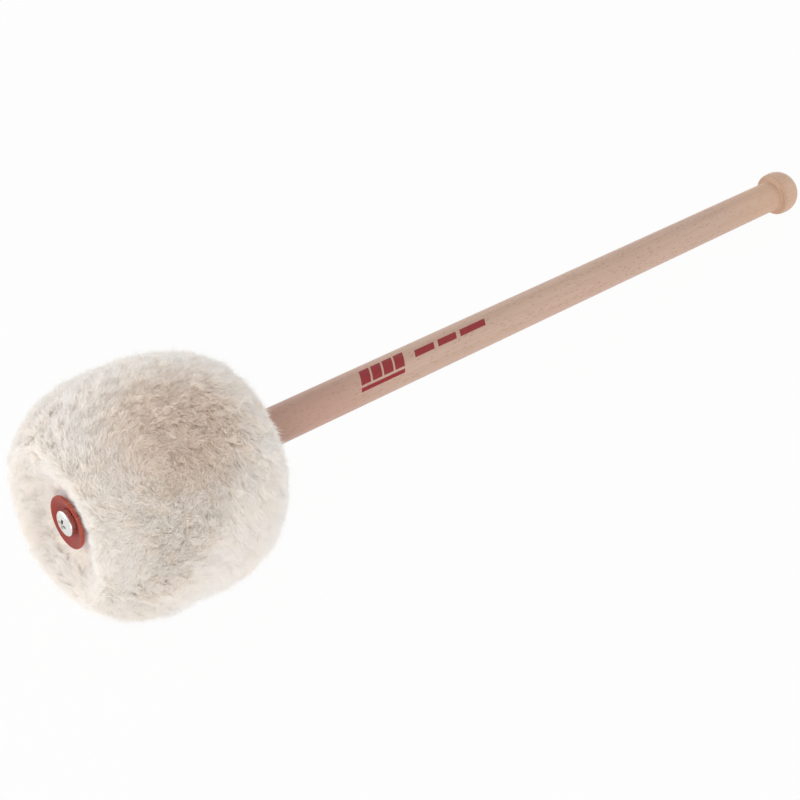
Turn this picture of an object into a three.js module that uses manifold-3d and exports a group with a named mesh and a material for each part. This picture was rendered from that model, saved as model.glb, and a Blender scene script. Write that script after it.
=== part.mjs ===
// A bass drum mallet, lying on a table. A turned beech handle carries a wooden core on its tenon. A strip of firm
// felt is wound round the core, a jacket of soft felt rounds the head off, and a fleece cover is gathered over both
// ends. One screw, through a red fibre washer, draws the head against the shoulder of the handle.
//
// Lengths are in millimetres. Each piece is drawn on the mallet's own axis: +X runs from the middle of the head to
// the butt of the handle. The finished mallet is then leaned over until the head and the knob both touch the table,
// which is z = 0.

import * as THREE from "three";
import { mergeVertices } from "three/addons/utils/BufferGeometryUtils.js";
import Module from "manifold-3d";

const wasm = await Module();
wasm.setup();

// Overall sizes: from the face of the front washer to the butt, and the head over its pile. The head is a barrel
// whose two ends are drawn in to the washer and to the handle.
const washerToButt = 380;
const headDiameter = 95;
const barrelLength = 97;
const drawInDepth = 13.2;
const drawInReach = 22;
const barrelPower = 2.7;

// Pieces that are pressed or seated together keep this gap, and what passes freely through a hole keeps the other
const seatGap = 0.3;
const passGap = 0.6;
const cutOverrun = 2;

// Fleece cover: pile on a knitted backing, with a hem at each end
const pileLength = 10;
const backingThickness = 1.2;
const hemThickness = 2.8;
const rearHemLand = 2.4;
const pleatHeight = 0.8;
const pleatReach = 20;
const pleatCount = 18;
const pileSteps = 7;
const restFlatDepth = 1.5;

// Gather threads, coiled flat in a fold of each hem
const threadDiameter = 1;
const threadTurns = 2;
const threadPitch = 1.6;
const threadStepsPerTurn = 24;
const threadSides = 6;

// Felt. Its layers are barrels too: the packing round the core is the squarest, and the jacket is rounder.
const jacketPower = 4;
const packPower = 8;
const feltSteps = 4;
const feltDiscThickness = 4;
const jacketThickness = 6;
const jacketLip = 5;
const jacketSeamWidth = 0.8;
const stripThickness = 4;
const stripTurns = 2;
const stripTipThickness = 0.7;
const stripSkiveAngle = THREE.MathUtils.degToRad(70);
const stripLeadAngle = THREE.MathUtils.degToRad(40);
const stripStepsPerTurn = 36;

// Core
const coreEdgeRadius = 2;
const tenonSetBack = 1.5;

// Handle
const tenonDiameter = 10;
const tenonChamfer = 0.8;
const handleHeadDiameter = 15.6;
const handleKnobDiameter = 13.2;
const shoulderChamfer = 0.6;
const knobDiameter = 18.8;
const knobLength = 11.2;
const knobStepHeight = 2.4;
const knobNeckRadius = 1;
const knobWidestFromStep = 3.6;
const buttFlatDiameter = 6;
const roundSides = 48;

// Washer and screw
const washerDiameter = 21.5;
const washerThickness = 1.6;
const washerEdgeRadius = 0.5;
const screwHeadDiameter = 10.4;
const screwHeadHeight = 3.2;
const screwHeadLand = 1;
const screwShankDiameter = 5.2;
const screwLength = 34;
const screwPointLength = 6;
const screwTipDiameter = 0.8;
const recessSpan = 5.6;
const recessWidth = 1.3;
const recessDepth = 2;
const screwSides = 32;

// Places along the axis, as distances from the middle of the head. Both ends of the head are packed alike, so the
// places from the hem inwards serve for the front and for the rear.
const barrelEnd = barrelLength / 2;
const washerOuter = barrelEnd - drawInDepth;
const washerInner = washerOuter - washerThickness;
const hemOuter = washerInner - seatGap;
const hemInner = hemOuter - hemThickness;
const discOuter = hemInner - seatGap;
const discInner = discOuter - feltDiscThickness;
const coreEnd = discInner - seatGap;
const shoulderPlace = coreEnd + seatGap;
const tenonEnd = coreEnd - tenonSetBack;
const screwSeat = washerOuter + seatGap;
const buttEnd = washerToButt - washerOuter;
const knobStep = buttEnd - knobLength;

// Radii, from the pile inwards to the core
const coverRadius = headDiameter / 2;
const linerRadius = coverRadius - pileLength - backingThickness;
const jacketOuter = linerRadius - seatGap;
const jacketInner = jacketOuter - jacketThickness;
const stripOuter = jacketInner - seatGap;
const stripPitch = stripThickness + passGap;
const stripInner = stripOuter - stripTurns * stripPitch;
const coreRadius = stripInner - seatGap;

// Every second rib of the cover is a fold, and the felt that it lies on has as many sides
const feltSides = 2 * pleatCount;

// Radii of what runs through the head, and of the holes round it
const tenonRadius = tenonDiameter / 2;
const handleRadius = handleHeadDiameter / 2;
const knobRadius = knobDiameter / 2;
const washerRadius = washerDiameter / 2;
const shankRadius = screwShankDiameter / 2;
const boreRadius = tenonRadius + seatGap;
const handleHole = handleRadius + seatGap;
const shankHole = shankRadius + passGap;
const washerSeatRadius = washerRadius + passGap;
const lipRadius = jacketInner - jacketLip;
const handleSeatRadius = handleHole + rearHemLand;

// A closed mesh as a solid for cutting and joining, and back
function solidOf(geometry) {
  const bare = geometry.clone();
  bare.deleteAttribute("normal");
  bare.deleteAttribute("uv");
  const merged = mergeVertices(bare);
  return new wasm.Manifold(
    new wasm.Mesh({
      numProp: 3,
      vertProperties: merged.attributes.position.array,
      triVerts: new Uint32Array(merged.index.array),
    }),
  );
}

function geometryOf(solid) {
  const { numVert, numProp, vertProperties, triVerts } = solid.getMesh();
  const corners = new Float32Array(numVert * 3);
  for (let i = 0; i < numVert; i++) {
    corners.set(vertProperties.subarray(i * numProp, i * numProp + 3), i * 3);
  }
  return new THREE.BufferGeometry()
    .setAttribute("position", new THREE.BufferAttribute(corners, 3))
    .setIndex(new THREE.BufferAttribute(triVerts, 1));
}

// A point of an outline, from its place along the axis and its radius, and an outline turned round the axis
const at = (place, radius) => new THREE.Vector2(radius, place);

function revolve(outline, sides) {
  return new THREE.LatheGeometry(outline, sides).rotateZ(-Math.PI / 2);
}

// The cosine and sine of even steps through a quarter turn, from 1, 0 to 0, 1
function quarterTurn(steps) {
  const sine = (step) => Math.sin((Math.PI / 2) * (step / steps));
  return Array.from({ length: steps + 1 }, (_, i) => [sine(steps - i), sine(i)]);
}

// A rounded corner in an outline: from the side that faces along the axis to the side that faces outwards
function roundedCorner(place, radius, edge, facing, steps) {
  return quarterTurn(steps).map(([cosine, sine]) =>
    at(place - facing * edge * (1 - cosine), radius - edge * (1 - sine)),
  );
}

// Smooth step from 0 to 1
function ease(share) {
  const t = THREE.MathUtils.clamp(share, 0, 1);
  return t * t * (3 - 2 * t);
}

// How far from the middle a barrel's end lies at a radius. Power 2 gives an ellipse, and more a squarer barrel.
function barrelPlace(radius, end, widest, power) {
  return end * Math.max(0, 1 - (radius / widest) ** power) ** (1 / power);
}

// One end of a felt barrel, as places and radii from its widest part in to the axis
function feltBarrel(end, widest, power) {
  return quarterTurn(feltSteps).map(([cosine, sine]) => [end * sine ** (2 / power), widest * cosine ** (2 / power)]);
}

// The stretch of such an end between two radii, the larger one first
function stretch(barrel, fromRadius, toRadius) {
  const onBarrel = (wanted) => {
    const next = Math.max(1, barrel.findIndex(([, radius]) => radius <= wanted));
    const [[place, radius], [nextPlace, nextRadius]] = [barrel[next - 1], barrel[next]];
    return [place + ((nextPlace - place) * (radius - wanted)) / (radius - nextRadius), wanted];
  };
  const between = barrel.filter(([, radius]) => radius < fromRadius && radius > toRadius);
  return [onBarrel(fromRadius), ...between, onBarrel(toRadius)];
}

const atFront = ([place, radius]) => at(-place, radius);
const atRear = ([place, radius]) => at(place, radius);

// Turned handle: tenon, shoulder, long taper, and a knob with a small step and a domed butt
function makeHandle() {
  const neckRadius = handleKnobDiameter / 2;
  const taperStart = shoulderPlace + shoulderChamfer;
  const taperEnd = knobStep - knobNeckRadius;
  const stepRadius = neckRadius + knobStepHeight;
  const widest = knobStep + knobWidestFromStep;
  const buttRadius = buttFlatDiameter / 2;
  const outline = [
    at(-tenonEnd, 0),
    at(-tenonEnd, tenonRadius - tenonChamfer),
    at(-tenonEnd + tenonChamfer, tenonRadius),
    at(shoulderPlace, tenonRadius),
    at(shoulderPlace, handleRadius - shoulderChamfer),
    at(taperStart, handleRadius),
  ];
  for (const [cosine, sine] of quarterTurn(4)) {
    outline.push(at(taperEnd + knobNeckRadius * sine, neckRadius + knobNeckRadius * (1 - cosine)));
  }
  for (const [cosine, sine] of quarterTurn(5)) {
    outline.push(at(
      knobStep + (widest - knobStep) * (1 - cosine),
      stepRadius + (knobRadius - stepRadius) * sine,
    ));
  }
  for (const [cosine, sine] of quarterTurn(9).slice(1)) {
    outline.push(at(
      widest + (buttEnd - widest) * sine,
      buttRadius + (knobRadius - buttRadius) * cosine,
    ));
  }
  outline.push(at(buttEnd, 0));

  const pilotRadius = shankRadius + seatGap;
  const pilotBottom = screwLength - screwSeat + passGap;
  const pilotHole = revolve([
    at(-tenonEnd - cutOverrun, 0),
    at(-tenonEnd - cutOverrun, pilotRadius),
    at(pilotBottom - screwPointLength, pilotRadius),
    at(pilotBottom, screwTipDiameter / 2 + seatGap),
    at(pilotBottom, 0),
  ], screwSides);
  return {
    geometry: geometryOf(solidOf(revolve(outline, roundSides)).subtract(solidOf(pilotHole))),
    outline,
  };
}

// Turned core: a cylinder with rounded edges and a bore for the tenon
function makeCore() {
  const steps = 4;
  return revolve([
    at(-coreEnd, boreRadius),
    ...roundedCorner(-coreEnd, coreRadius, coreEdgeRadius, -1, steps),
    ...roundedCorner(coreEnd, coreRadius, coreEdgeRadius, 1, steps).reverse(),
    at(coreEnd, boreRadius),
    at(-coreEnd, boreRadius),
  ], roundSides);
}

// The underside of the wound strip at an angle along it. The strip lies flat on the layer below it, and climbs one
// pitch where each turn passes over the skived tip of the turn before.
function stripUnderside(angle) {
  let radius = stripInner;
  for (let turn = 1; turn <= stripTurns; turn++) {
    const fromTip = angle - turn * 2 * Math.PI + stripLeadAngle;
    radius += stripPitch * ease(fromTip / (stripLeadAngle + stripSkiveAngle));
  }
  return radius;
}

// The strip thins to a tip at both of its ends
function stripThicknessAt(angle) {
  const fromNearerEnd = Math.min(angle, stripTurns * 2 * Math.PI - angle);
  return stripTipThickness + (stripThickness - stripTipThickness) * ease(fromNearerEnd / stripSkiveAngle);
}

// Firm felt strip, wound round the core in one length, with its edges shaved to the round of the packing
function makeFeltStrip() {
  const steps = stripTurns * stripStepsPerTurn;
  const underside = [];
  const topside = [];
  for (let i = 0; i <= steps; i++) {
    const angle = (i / stripStepsPerTurn) * 2 * Math.PI;
    const radius = stripUnderside(angle);
    const outwards = new THREE.Vector2(Math.cos(angle), Math.sin(angle));
    underside.push(outwards.clone().multiplyScalar(radius));
    topside.push(outwards.clone().multiplyScalar(radius + stripThicknessAt(angle)));
  }
  const gaps = underside.slice(stripStepsPerTurn).map((point, i) => point.length() - topside[i].length());
  console.log(`felt strip: least gap between turns ${Math.min(...gaps).toFixed(2)} mm`);

  const section = new THREE.Shape([...underside, ...topside.reverse()]);
  const wound = new THREE.ExtrudeGeometry(section, { depth: 2 * coreEnd, bevelEnabled: false })
    .translate(0, 0, -coreEnd)
    .rotateY(Math.PI / 2);
  const end = feltBarrel(coreEnd, stripOuter, packPower);
  const packing = revolve([...end.map(atFront).reverse(), ...end.map(atRear).slice(1)], stripStepsPerTurn);
  return geometryOf(solidOf(wound).intersect(solidOf(packing)));
}

// Soft felt jacket: a barrel-shaped sleeve with a lip turned in at each end, open along its seam
function makeFeltJacket() {
  const outside = stretch(feltBarrel(discOuter, jacketOuter, jacketPower), jacketOuter, lipRadius);
  const inside = stretch(feltBarrel(discInner, jacketInner, packPower), jacketInner, lipRadius);
  const outline = [
    ...outside.map(atFront).reverse(),
    ...outside.map(atRear).slice(1),
    ...inside.map(atRear).reverse(),
    ...inside.map(atFront).slice(1),
    atFront(outside.at(-1)),
  ];
  const reach = jacketOuter + cutOverrun;
  const seam = new THREE.BoxGeometry(2 * (discOuter + cutOverrun), jacketSeamWidth, reach);
  seam.translate(0, 0, reach / 2);
  return geometryOf(solidOf(revolve(outline, feltSides)).subtract(solidOf(seam)));
}

// Felt disc inside the jacket's lip at one end of the head. Its face carries on the round of the jacket.
function makeFeltDisc(holeRadius) {
  const rim = lipRadius - seatGap;
  const face = stretch(feltBarrel(discOuter, jacketOuter, jacketPower), rim, holeRadius);
  return revolve([
    at(discInner, holeRadius),
    at(discInner, rim),
    ...face.map(atRear),
    at(discInner, holeRadius),
  ], feltSides);
}

// One end of the pile, from the widest part of the barrel to the seat: a barrel whose end is drawn in to the hem
function pileEnd(seatRadius) {
  const full = (radius) => barrelPlace(radius, barrelEnd, coverRadius, barrelPower);
  const pull = full(seatRadius) - hemOuter;
  return quarterTurn(pileSteps).map(([cosine]) => {
    const radius = seatRadius + (coverRadius - seatRadius) * cosine ** (2 / barrelPower);
    return [full(radius) - pull * (1 - ease((radius - seatRadius) / drawInReach)), radius];
  });
}

// The inside of the cover at one end, from its widest part to the hem, with the fold that the thread lies in
function linerEnd(holeRadius) {
  const foldInner = holeRadius + backingThickness;
  const foldOuter = foldInner + threadTurns * threadPitch + threadDiameter + 2 * seatGap;
  const foldFloor = hemInner + threadDiameter + 2 * seatGap;
  return [
    ...stretch(feltBarrel(hemInner, linerRadius, jacketPower), linerRadius, foldOuter),
    [foldFloor, foldOuter],
    [foldFloor, foldInner],
    [hemInner, foldInner],
    [hemInner, holeRadius],
  ];
}

// Fleece cover: pile and backing as one wall. Folds run out from the two hems, and the underside is pressed flat
// where the head lies on the table.
function makeFleeceCover(table) {
  const outline = [
    at(-hemOuter, shankHole),
    ...pileEnd(washerSeatRadius).map(atFront).reverse(),
    ...pileEnd(handleSeatRadius).map(atRear).slice(1),
    at(hemOuter, handleHole),
    ...linerEnd(handleHole).map(atRear).reverse(),
    ...linerEnd(shankHole).map(atFront).slice(1),
    at(-hemOuter, shankHole),
  ];
  const wall = revolve(outline, feltSides);
  foldPleats(wall.attributes.position);
  return geometryOf(solidOf(wall).subtract(table));
}

// The folds rise beyond the seats, and fade out along the barrel
function foldPleats(corners) {
  for (let i = 0; i < corners.count; i++) {
    const place = corners.getX(i);
    const radius = Math.hypot(corners.getY(i), corners.getZ(i));
    const seatRadius = place < 0 ? washerSeatRadius : handleSeatRadius;
    const beyond = radius - seatRadius;
    if (Math.abs(place) < hemOuter || beyond < seatGap) continue;
    const turn = Math.atan2(corners.getZ(i), corners.getY(i));
    const rise = pleatHeight * Math.cos(pleatCount * turn) * (1 - ease(beyond / pleatReach));
    corners.setX(i, place + Math.sign(place) * rise);
  }
}

// Gather thread: a flat spiral of waxed thread in the fold of a hem
function makeGatherThread(holeRadius) {
  const half = threadDiameter / 2;
  const innermost = holeRadius + backingThickness + seatGap + half;
  const middle = hemInner + seatGap + half;
  const steps = threadTurns * threadStepsPerTurn;
  const radii = Array.from({ length: steps + 1 }, (_, i) => innermost + (threadPitch * i) / threadStepsPerTurn);
  const gaps = radii.slice(threadStepsPerTurn).map((radius, i) => radius - radii[i] - threadDiameter);
  console.log(`gather thread: least gap between turns ${Math.min(...gaps).toFixed(2)} mm`);

  const corners = [];
  const faces = [];
  radii.forEach((radius, i) => {
    const along = (i / threadStepsPerTurn) * 2 * Math.PI;
    for (let k = 0; k < threadSides; k++) {
      const round = (k / threadSides) * 2 * Math.PI;
      const reach = radius + half * Math.cos(round);
      corners.push(middle + half * Math.sin(round), reach * Math.cos(along), reach * Math.sin(along));
    }
  });
  for (let i = 0; i < steps; i++) {
    for (let k = 0; k < threadSides; k++) {
      const a = i * threadSides + k;
      const b = i * threadSides + ((k + 1) % threadSides);
      faces.push(a, a + threadSides, b, b, a + threadSides, b + threadSides);
    }
  }
  const last = steps * threadSides;
  for (let k = 1; k < threadSides - 1; k++) {
    faces.push(0, k, k + 1);
    faces.push(last, last + k + 1, last + k);
  }
  return new THREE.BufferGeometry()
    .setAttribute("position", new THREE.Float32BufferAttribute(corners, 3))
    .setIndex(faces);
}

// Red fibre washer with rounded edges
function makeWasher() {
  const holeRadius = shankRadius + seatGap;
  const steps = 3;
  return revolve([
    at(-washerOuter, holeRadius),
    ...roundedCorner(-washerOuter, washerRadius, washerEdgeRadius, -1, steps),
    ...roundedCorner(-washerInner, washerRadius, washerEdgeRadius, 1, steps).reverse(),
    at(-washerInner, holeRadius),
    at(-washerOuter, holeRadius),
  ], roundSides);
}

// Pan-head screw with a cross recess, a plain shank and a pointed end
function makeScrew() {
  const headRadius = screwHeadDiameter / 2;
  const headTop = screwSeat + screwHeadHeight;
  const domeFoot = screwSeat + screwHeadLand;
  const tip = screwLength - screwSeat;
  const dome = quarterTurn(7).map(([cosine, sine]) =>
    at(-domeFoot - (headTop - domeFoot) * cosine, headRadius * sine),
  );
  const body = revolve([
    ...dome,
    at(-screwSeat, headRadius),
    at(-screwSeat, shankRadius),
    at(tip - screwPointLength, shankRadius),
    at(tip, screwTipDiameter / 2),
    at(tip, 0),
  ], screwSides);

  const slotDepth = recessDepth + cutOverrun;
  const slotMiddle = -headTop + recessDepth - slotDepth / 2;
  const slot = new THREE.BoxGeometry(slotDepth, recessWidth, recessSpan).translate(slotMiddle, 0, 0);
  const crossSlot = slot.clone().rotateX(Math.PI / 2);
  return geometryOf(solidOf(body).subtract(solidOf(slot)).subtract(solidOf(crossSlot)));
}

// The mallet leans from the middle of its head, at this height, until the first point of the handle's outline
// touches the table
function leanedPose(outline) {
  const height = coverRadius - restFlatDepth;
  const leans = outline
    .filter((point) => point.y > barrelEnd)
    .map(({ x: radius, y: place }) => Math.asin(height / Math.hypot(place, radius)) - Math.atan2(radius, place));
  return new THREE.Matrix4()
    .makeRotationY(Math.min(...leans))
    .setPosition(0, 0, height);
}

// All that lies below the table, as the mallet sees it before it leans
function belowTable(pose) {
  const block = new THREE.BoxGeometry(washerToButt, washerToButt, washerToButt);
  block.translate(0, 0, -washerToButt / 2);
  return solidOf(block.applyMatrix4(pose.clone().invert()));
}

const finishes = {
  beech: { color: 0xd9b89c, roughness: 0.45, metalness: 0 },
  poplar: { color: 0xcfae84, roughness: 0.7, metalness: 0 },
  firmFelt: { color: 0xb9b3a6, roughness: 1, metalness: 0 },
  softFelt: { color: 0xe4ddcf, roughness: 1, metalness: 0 },
  fleece: { color: 0xece2d2, roughness: 1, metalness: 0 },
  thread: { color: 0xf2ecdc, roughness: 0.8, metalness: 0 },
  fibre: { color: 0xa3322b, roughness: 0.5, metalness: 0 },
  nickel: { color: 0xd8d8d6, roughness: 0.25, metalness: 1 },
};

const mallet = new THREE.Group();

function addPiece(name, geometry, finish) {
  const piece = new THREE.Mesh(geometry, new THREE.MeshStandardMaterial(finishes[finish]));
  piece.name = name;
  mallet.add(piece);
  return piece;
}

const handle = makeHandle();
const pose = leanedPose(handle.outline);

addPiece("handle", handle.geometry, "beech");
addPiece("head_core", makeCore(), "poplar");
addPiece("felt_strip", makeFeltStrip(), "firmFelt");
addPiece("felt_jacket", makeFeltJacket(), "softFelt");
addPiece("rear_felt_disc", makeFeltDisc(handleHole), "softFelt");
addPiece("front_felt_disc", makeFeltDisc(shankHole), "softFelt").rotation.y = Math.PI;
addPiece("fleece_cover", makeFleeceCover(belowTable(pose)), "fleece");
addPiece("rear_gather_thread", makeGatherThread(handleHole), "thread");
addPiece("front_gather_thread", makeGatherThread(shankHole), "thread").rotation.y = Math.PI;
addPiece("front_washer", makeWasher(), "fibre");
addPiece("retaining_screw", makeScrew(), "nickel");

// Leaned onto the table, with the origin under the middle of the mallet's length
mallet.applyMatrix4(pose);
const bounds = new THREE.Box3().setFromObject(mallet, true);
mallet.position.x -= (bounds.min.x + bounds.max.x) / 2;

const part = new THREE.Group();
part.add(mallet);

export default part;
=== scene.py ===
"""Looks of a bass drum mallet that lies on a table: beech handle, fleece head, red washer and screw.

Lengths are in metres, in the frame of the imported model. The mallet's own frame has its origin in the
middle of the head, and its X axis runs along the handle to the butt. Pieces are turned in that frame,
and then leaned onto the table.
"""

import math

import bmesh
import bpy
import numpy as np
from mathutils import Matrix, Vector, kdtree, noise


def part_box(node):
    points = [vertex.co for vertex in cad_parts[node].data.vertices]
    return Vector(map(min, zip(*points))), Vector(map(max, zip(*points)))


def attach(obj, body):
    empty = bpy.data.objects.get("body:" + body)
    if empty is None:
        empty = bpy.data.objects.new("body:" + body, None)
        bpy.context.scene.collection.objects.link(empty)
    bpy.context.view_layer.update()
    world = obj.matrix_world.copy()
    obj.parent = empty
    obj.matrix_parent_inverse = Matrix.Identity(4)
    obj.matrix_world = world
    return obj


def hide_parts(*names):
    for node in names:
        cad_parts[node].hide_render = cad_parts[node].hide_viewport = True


bl_info = {
    "name": "Bass drum mallet",
    "version": (1, 0, 0),
    "blender": (4, 5, 0),
    "location": "3D View > Sidebar > Mallet",
    "description": "Fleece head, beech handle, washer and screw of a bass drum mallet",
    "category": "Object",
}

MM = 0.001
FULL_TURN = 2 * math.pi
SHARP_ANGLE = math.radians(35)
WHITE = (1, 1, 1, 1)

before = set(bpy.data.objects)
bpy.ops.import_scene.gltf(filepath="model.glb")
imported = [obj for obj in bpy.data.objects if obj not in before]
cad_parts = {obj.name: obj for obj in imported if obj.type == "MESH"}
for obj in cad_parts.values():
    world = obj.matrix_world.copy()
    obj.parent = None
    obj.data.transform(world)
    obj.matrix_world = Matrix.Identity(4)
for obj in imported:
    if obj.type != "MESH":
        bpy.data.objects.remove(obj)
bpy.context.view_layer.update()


def middle_of(node):
    """The middle of a CAD node's box."""
    low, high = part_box(node)
    return (low + high) / 2


# The mallet's own frame, from the core and the washer, which are turned on the same axis
HEAD_MIDDLE = middle_of("head_core")
AXIS = (HEAD_MIDDLE - middle_of("front_washer")).normalized()
LEAN = math.atan2(-AXIS.z, AXIS.x)
POSE = Matrix.Translation(HEAD_MIDDLE) @ Matrix.Rotation(LEAN, 4, "Y")
TO_OWN = POSE.inverted()


def numbers_of(items, name, kind=np.float32, width=3):
    """One value of each item of a mesh, as rows."""
    found = np.empty(len(items) * width, kind)
    items.foreach_get(name, found)
    return found.reshape(-1, width)


def turned(points, matrix):
    """Rows of points, moved by a matrix."""
    m = np.array(matrix, float)
    return points @ m[:3, :3].T + m[:3, 3]


def radii_of(own):
    """How far rows of places in the mallet's own frame lie from its axis."""
    return np.hypot(own[..., 1], own[..., 2])


def reach_of(node):
    """The first and last place along the axis, and the largest radius, of a CAD node."""
    own = turned(numbers_of(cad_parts[node].data.vertices, "co"), TO_OWN)
    return own[:, 0].min(), own[:, 0].max(), radii_of(own).max()


WASHER_FACE, WASHER_BACK, WASHER_RADIUS = reach_of("front_washer")
SCREW_FACE, SCREW_TIP, SCREW_RADIUS = reach_of("retaining_screw")
TENON_END, BUTT_END, KNOB_RADIUS = reach_of("handle")
COVER_RADIUS = reach_of("fleece_cover")[2]


# Settings that a user would change


def number(name, description, default, **limits):
    """A setting with one value."""
    return bpy.props.FloatProperty(name=name, description=description, default=default, **limits)


def numbers(name, description, default, **limits):
    """A setting with three values."""
    return bpy.props.FloatVectorProperty(name=name, description=description, default=default, **limits)


def count(name, description, default):
    """A whole number."""
    return bpy.props.IntProperty(name=name, description=description, default=default, min=1)


def length(name, description, millimetres):
    """A length, given in millimetres and kept in metres."""
    return number(name, description, millimetres * MM, min=0, precision=5, unit="LENGTH", subtype="DISTANCE")


def share(name, description, default):
    """A setting from 0 to 1."""
    return number(name, description, default, min=0, max=1, subtype="FACTOR")


def angle(name, description, degrees):
    """An angle, given in degrees and kept in radians."""
    return number(name, description, math.radians(degrees), subtype="ANGLE", unit="ROTATION")


def paint(name, description, red, green, blue):
    """A colour, given as it looks on a screen, from 0 to 255."""
    seen = (x / 255 for x in (red, green, blue))
    linear = [x / 12.92 if x <= 0.04045 else ((x + 0.055) / 1.055) ** 2.4 for x in seen]
    return numbers(name, description, linear, min=0, max=1, subtype="COLOR")


class MalletHandleSettings(bpy.types.PropertyGroup):
    """Sizes and colours of the handle."""

    shoulder_place: length("Shoulder", "From the middle of the head to the shoulder", 26.3)
    tenon_diameter: length("Tenon diameter", "Diameter of the tenon in the core", 10)
    head_end_diameter: length("Diameter at the head", "Diameter of the taper behind the shoulder", 15.6)
    knob_end_diameter: length("Diameter at the knob", "Diameter of the taper before the knob", 13.2)
    shoulder_chamfer: length("Chamfer", "Chamfer on the shoulder and the tenon", 0.6)
    knob_length: length("Knob length", "From the step of the knob to the butt", 11.2)
    knob_step: length("Knob step", "Height of the step before the knob", 2.4)
    knob_neck: length("Knob neck", "Radius of the hollow at the foot of the step", 1)
    knob_widest: length("Widest part", "From the step of the knob to its widest part", 3.6)
    butt_flat: length("Butt flat", "Diameter of the flat on the butt", 6)
    edge_round: length("Edge round", "Radius on the edge of the knob's step", 0.5)
    light_wood: paint("Light wood", "Early wood between the growth rings", 221, 190, 170)
    dark_wood: paint("Dark wood", "Late wood of the growth rings", 203, 167, 147)
    pink_wood: paint("Pink wood", "Wood behind the head", 187, 140, 126)
    warm_wood: paint("Warm wood", "Wood at the knob", 228, 186, 152)
    fleck: paint("Fleck", "Short ray flecks of beech", 160, 112, 88)
    print_ink: paint("Ink", "Red of the printed mark", 148, 14, 26)
    print_place: length("Bars", "From the middle of the head to the first bar", 98)
    print_length: length("Bars length", "Length of the row of bars", 22)
    print_turn: angle("Bars turn", "How far the bars lie round from the top of the handle", 26)
    print_slant: share("Slant", "How far the print leans along the handle for its height", 0.45)
    bar_count: count("Bar count", "Bars in the row", 4)
    bar_height: length("Bar height", "Height of a bar round the handle", 6)
    bar_gap: length("Bar gap", "Bare wood between two bars", 0.9)
    line_height: length("Line height", "Height of the line under the bars", 1.5)
    line_gap: length("Line gap", "Bare wood between the bars and the line", 0.9)
    dash_place: length("Dashes", "From the middle of the head to the first dash", 126)
    dash_lengths: numbers("Dash lengths", "Lengths of the dashes", (0.010, 0.0096, 0.0133), unit="LENGTH")
    dash_gap: length("Dash gap", "Bare wood between two dashes", 2)
    dash_height: length("Dash height", "Height of a dash round the handle", 2.9)
    dash_turn: angle("Dash turn", "How far the dashes lie round from the top of the handle", 19)


class MalletFleeceSettings(bpy.types.PropertyGroup):
    """Sizes and colours of the fleece."""

    barrel_length: length("Head length", "Length of the head before its ends are drawn in", 97)
    draw_in_reach: length("Draw-in reach", "How far out from the seat the ends are drawn in", 22)
    hem_depth: length("Hem depth", "From the face of the washer to the hem under it", 1.9)
    front_seat: length("Front seat", "Radius of the seat of the washer", 11.35)
    rear_seat: length("Rear seat", "Radius of the hem round the handle", 10.5)
    front_hole: length("Front hole", "Radius of the hole for the screw", 3.2)
    rear_hole: length("Rear hole", "Radius of the hole for the handle", 8.1)
    handle_clearance: length("Handle clearance", "Least radius of a hair beside the handle", 8.4)
    washer_clearance: share("Washer clearance", "How far hairs stand back, for their height over it", 0.6)
    pile_depth: length("Pile depth", "How far the backing lies under the pile's surface", 2.8)
    backing: length("Backing", "Thickness of the knitted backing", 2.4)
    hair_length: length("Hair length", "Mean length of a hair", 4.2)
    hair_radius: length("Hair radius", "Radius of a hair bundle at its foot", 0.17)
    under_count: count("Under hairs", "Straight hairs on each piece of the under wool", 47500)
    under_pieces: count("Under wool pieces", "Pieces that the under wool is made in", 7)
    top_count: count("Top hairs", "Bent hairs on each piece of the top hair", 19000)
    top_pieces: count("Top hair pieces", "Pieces that the top hair is made in", 2)
    top_growth: number("Top growth", "Length of a top hair beside an under hair", 1.15)
    lock_count: count("Locks", "Locks that the hairs are drawn into", 2400)
    seed: count("Seed", "Start of the random draws", 7)
    tip: paint("Tip", "Fleece at the tips of the hairs", 255, 254.4, 253.6)
    # Painted shade: the root colour is a touch darker and warmer than the tip, for the shade deep between
    # the locks
    root: paint("Root", "Fleece deep between the locks", 254.4, 252.4, 250)
    stain: paint("Stain", "Warmer locks", 254, 251.4, 248)
    # Painted shade: the next three settings give the colour, the place and the reach of warmer, darker wool
    # on the upper side of the head
    painted_shade: paint("Used", "Fleece on the side that strikes the drum", 253.4, 250.2, 246.8)
    painted_shade_turn: angle("Used turn", "How far the used side lies round from the top of the head", 21)
    painted_shade_reach: length("Used reach", "From the middle of the used side to its edge", 38)
    translucency: share("Translucency", "Share of the light that a hair lets through", 0.62)


class MalletFittingSettings(bpy.types.PropertyGroup):
    """Sizes and colours of the washer and the screw."""

    washer_hole: length("Washer hole", "Diameter of the hole in the washer", 5.8)
    washer_round: length("Washer edge", "Radius on the edges of the washer", 0.5)
    washer_dish: length("Washer dish", "How far the screw has pulled in the washer's middle", 1.8)
    screw_seat: length("Screw seat", "From the washer's face to the underside of the screw head", 0.3)
    screw_land: length("Screw land", "Straight side of the screw head", 1.9)
    shank_diameter: length("Shank", "Diameter of the shank", 5.2)
    point_length: length("Point", "Length of the shank's point", 6)
    recess_span: length("Recess span", "Length of each arm of the cross recess", 4.8)
    recess_width: length("Recess width", "Width of each arm of the cross recess", 1.2)
    recess_depth: length("Recess depth", "Depth of the cross recess", 2)
    red_fibre: paint("Fibre", "Red vulcanised fibre", 150, 48, 36)
    worn_fibre: paint("Worn fibre", "Fibre where it is rubbed", 200, 104, 80)
    nickel: paint("Nickel", "Nickel plate", 232, 230, 227)
    tarnish: paint("Tarnish", "Nickel under a haze", 194, 189, 180)


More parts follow.
